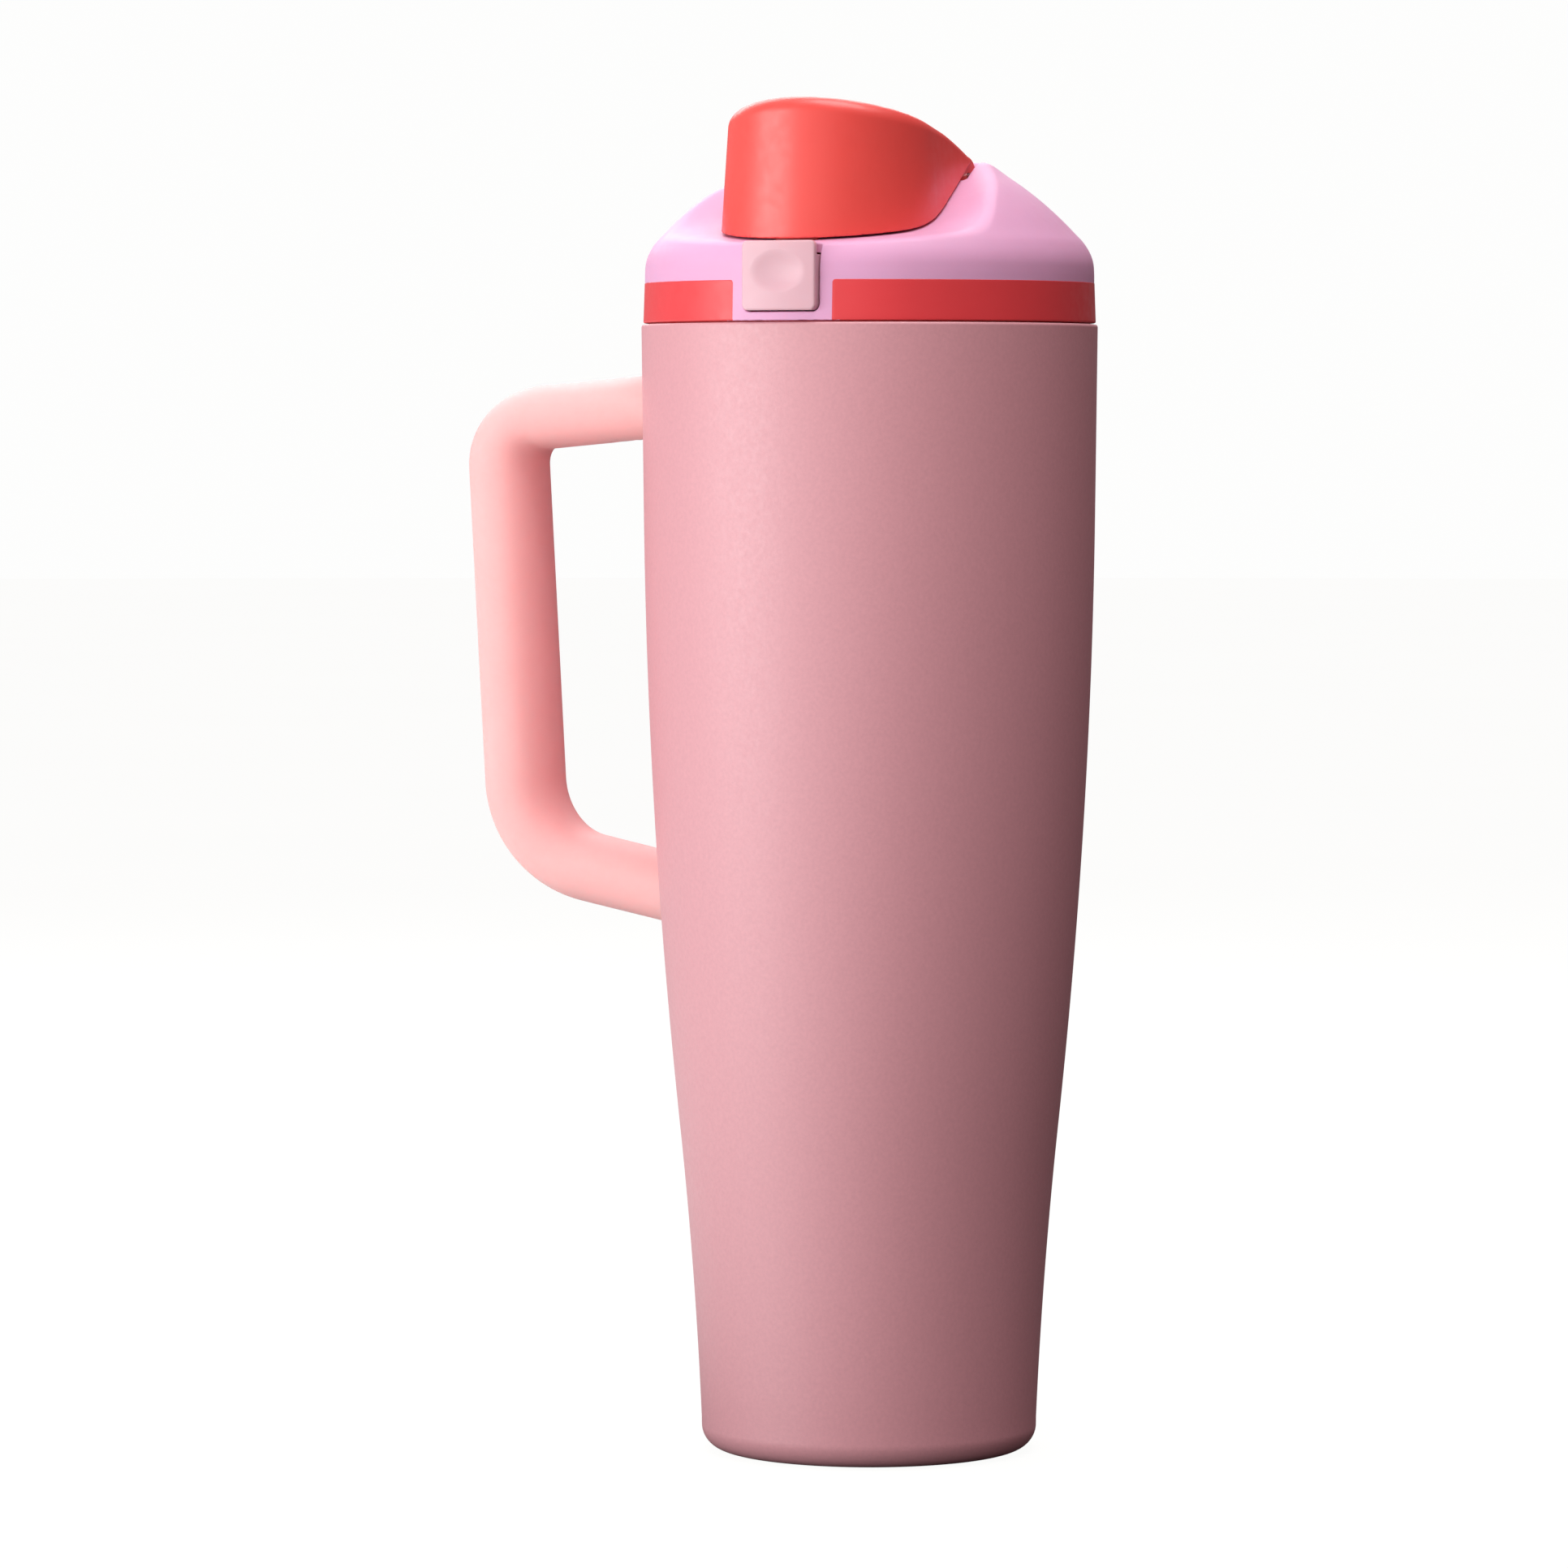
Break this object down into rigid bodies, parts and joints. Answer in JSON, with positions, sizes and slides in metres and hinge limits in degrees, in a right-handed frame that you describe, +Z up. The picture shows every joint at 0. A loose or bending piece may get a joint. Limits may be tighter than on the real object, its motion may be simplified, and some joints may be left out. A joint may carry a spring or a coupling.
{
  "type": "insulated tumbler",
  "caption": "Tall double-wall steel tumbler with a side handle and a press-in lid, whose spring-latched flip cover closes a spout with a straw.",
  "frame": {"origin": "centre of the cup's resting face, on the cup's axis", "axes": "+Z up along the cup's axis, -Y towards the drinking side and the button, -X towards the handle, +Y towards the cover's hinge side"},
  "size_m": [0.1458, 0.101, 0.296],
  "materials": {
    "powder_coat": "matte, very fine powder-coat grain",
    "steel_brushed": "brushed, electropolished",
    "steel_raw": "plain stamped sheet",
    "bead_glass": "dark fused bead",
    "getter_grey": "dull grey",
    "foil_copper": "bright copper-coloured foil",
    "handle_core": "matte",
    "handle_skin": "soft-touch matte",
    "screw_steel": "satin",
    "silicone_clear": "translucent white silicone",
    "lid_coral": "satin moulded plastic",
    "lid_lilac": "satin moulded plastic",
    "spout_pink": "satin moulded plastic",
    "straw_clear": "smooth, slightly translucent",
    "button_pink": "satin moulded plastic",
    "latch_white": "satin, low friction",
    "cover_coral": "satin moulded plastic"
  },
  "bodies": {
    "cup": {"outer_shell": "powder_coat", "inner_liner": "steel_brushed", "base_plate": "steel_raw", "vacuum_seal_bead": "bead_glass", "getter": "getter_grey", "reflective_foil": "foil_copper", "upper_bracket": "steel_raw", "lower_bracket": "steel_raw", "handle_core": "handle_core", "handle_grip": "handle_skin", "handle_screws": "screw_steel", "screw_plugs": "handle_skin"},
    "gasket": {"lid_gasket": "silicone_clear"},
    "lid": {"lid_base": "lid_coral", "lid_dome": "lid_lilac", "spout": "spout_pink", "spout_gasket": "silicone_clear", "vent_valve": "silicone_clear", "straw": "straw_clear", "hinge_pin": "screw_steel", "hinge_spring": "screw_steel", "button_spring": "screw_steel"},
    "button": {"button_cap": "button_pink", "latch_slider": "latch_white"},
    "cover": {"cover_shell": "cover_coral", "cover_frame": "cover_coral", "cover_seal": "silicone_clear"}
  },
  "joints": [
    {"name": "lid_lift", "type": "slide", "parent": "cup", "child": "gasket", "axis": [0, 0, 1], "range_m": [0, 0.255]},
    {"name": "lid_turn", "type": "hinge", "parent": "gasket", "child": "lid", "pos_m": [0, 0, 0.24], "axis": [0, 0, 1], "continuous": true},
    {"name": "cover_flip", "type": "hinge", "parent": "lid", "child": "cover", "pos_m": [0, 0.0015, 0.279], "axis": [-1, 0, 0], "range_deg": [0, 110]},
    {"name": "button_press", "type": "slide", "parent": "lid", "child": "button", "axis": [0, 1, 0], "range_m": [0, 0.0022], "stiffness_N_per_m": 500, "springref_m": -0.002, "deforming": ["button_spring"]}
  ]
}
